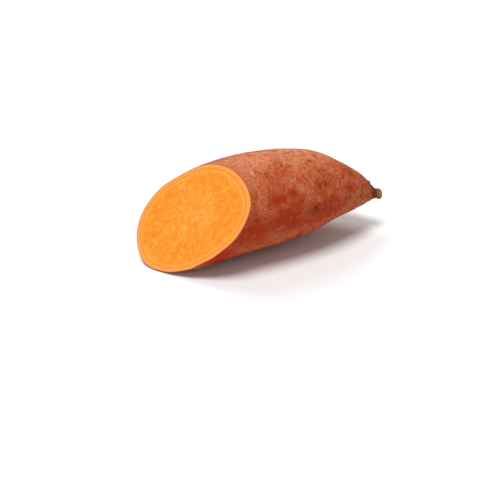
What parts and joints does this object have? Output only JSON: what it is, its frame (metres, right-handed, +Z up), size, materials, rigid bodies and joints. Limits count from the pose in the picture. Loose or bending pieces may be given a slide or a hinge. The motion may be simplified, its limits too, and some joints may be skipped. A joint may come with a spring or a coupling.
{
  "type": "sweet potato",
  "caption": "Sweet potato root lying on its belly, one end sliced off at a slant to show the orange flesh, the other tapering to a short corky stem stub.",
  "frame": {"origin": "middle of the bounding box in plan, at the height of the surface that the root lies on", "axes": "+X along the root towards the corky stem stub, -X towards the cut face, +Y to the back, +Z up"},
  "size_m": [0.1577, 0.0672, 0.0625],
  "materials": {
    "sweet_potato": "matte"
  },
  "bodies": {
    "root": {"sweet_potato": "sweet_potato"}
  },
  "joints": []
}
